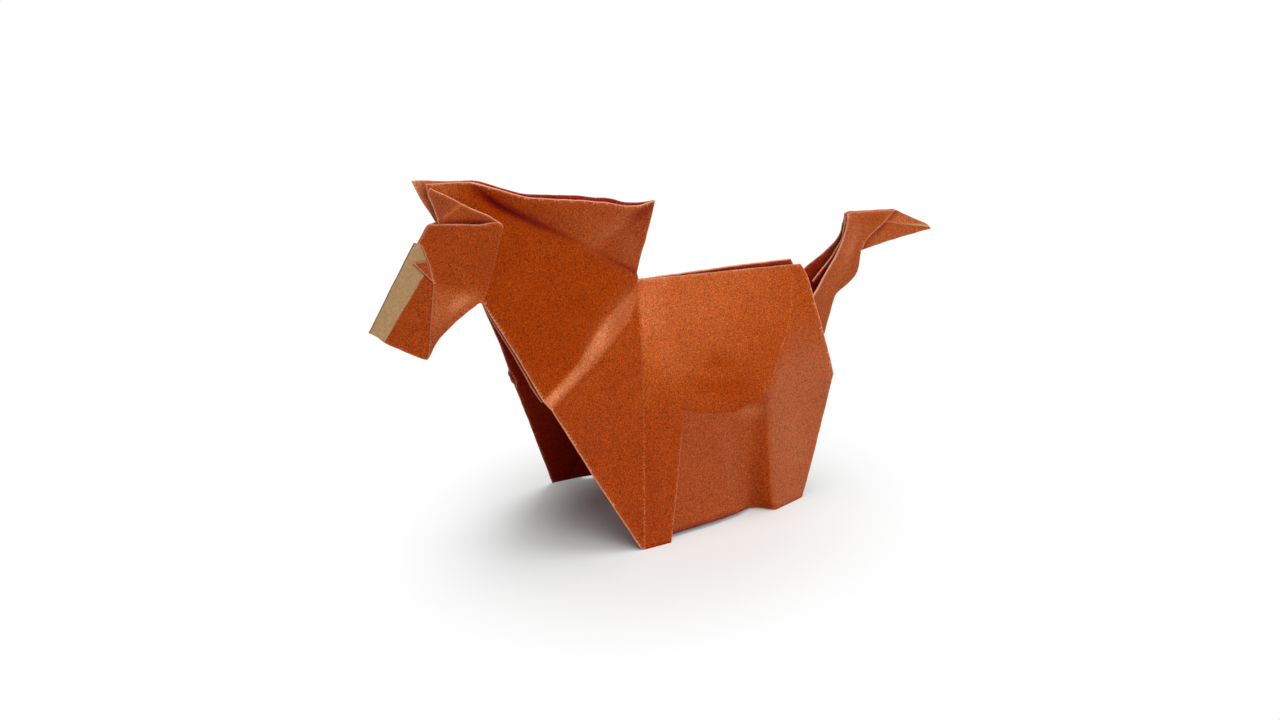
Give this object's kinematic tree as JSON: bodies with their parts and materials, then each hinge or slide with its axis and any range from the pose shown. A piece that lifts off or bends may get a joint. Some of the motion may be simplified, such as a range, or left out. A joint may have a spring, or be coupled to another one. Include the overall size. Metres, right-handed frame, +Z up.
{
  "type": "origami horse",
  "caption": "Standing horse folded from one square of coloured kraft paper: open tent body on splayed legs, double mane, pointed ears, bare nose stripe and bent tail.",
  "frame": {"origin": "on the table under the middle of the horse, halfway between nose and tail tip and midway between the two flanks", "axes": "+X towards the tail, -X towards the nose, +Z up; Y runs across the horse, with the flank that the picture shows at -Y"},
  "size_m": [0.1296, 0.0384, 0.0763],
  "materials": {
    "kraft_paper": "uncoated kraft paper, orange-brown on one side and bare on the other"
  },
  "bodies": {
    "root": {"folded_sheet": "kraft_paper"}
  },
  "joints": []
}
